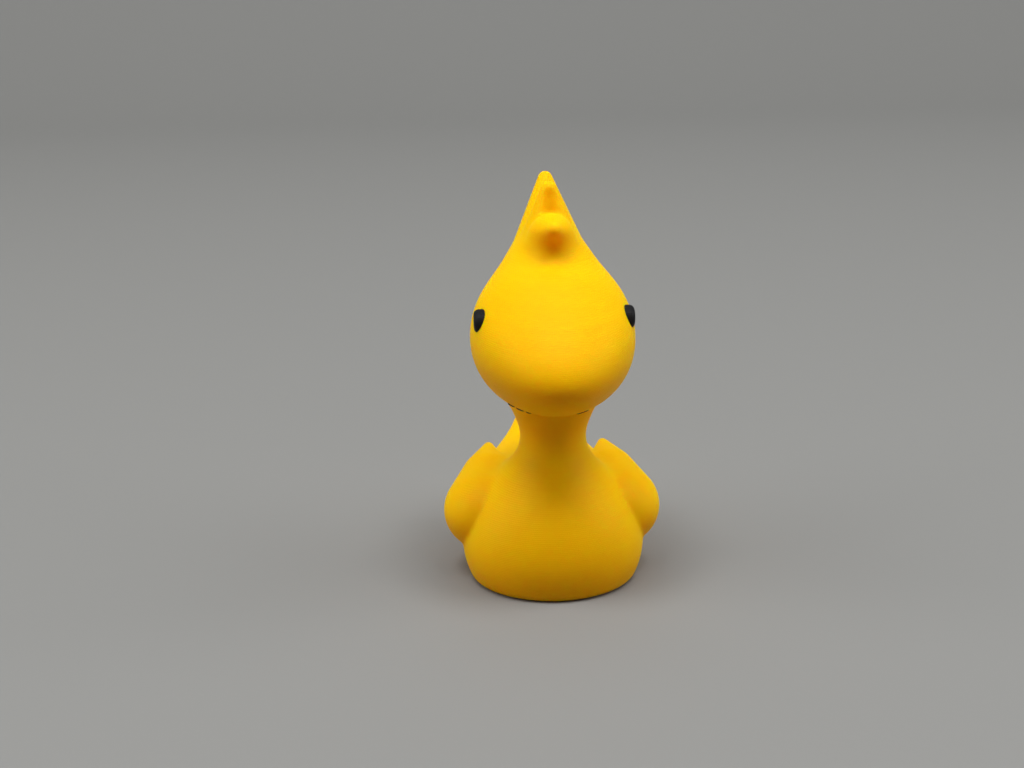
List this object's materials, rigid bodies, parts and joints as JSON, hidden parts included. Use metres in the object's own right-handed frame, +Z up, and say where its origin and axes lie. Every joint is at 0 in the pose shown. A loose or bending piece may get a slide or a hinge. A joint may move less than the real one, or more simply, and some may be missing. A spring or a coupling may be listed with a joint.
{
  "type": "toy duck",
  "caption": "Small hard-plastic toy duck with a lobed crest, broad bill, waisted neck, raised side wings and upturned tail; stands on a flat base as a desk ornament.",
  "frame": {"origin": "On the flat base, in the duck's plane of symmetry, just behind the middle of the chest.", "axes": "+Z up, the duck faces -Y, and +X is its left side."},
  "size_m": [0.0244, 0.0354, 0.0448],
  "materials": {
    "yellow_plastic": "satin, with fine level layer lines",
    "black_plastic": "satin"
  },
  "bodies": {
    "root": {"body": "yellow_plastic", "eye_left": "black_plastic", "eye_right": "black_plastic", "mouth_line": "black_plastic"}
  },
  "joints": []
}
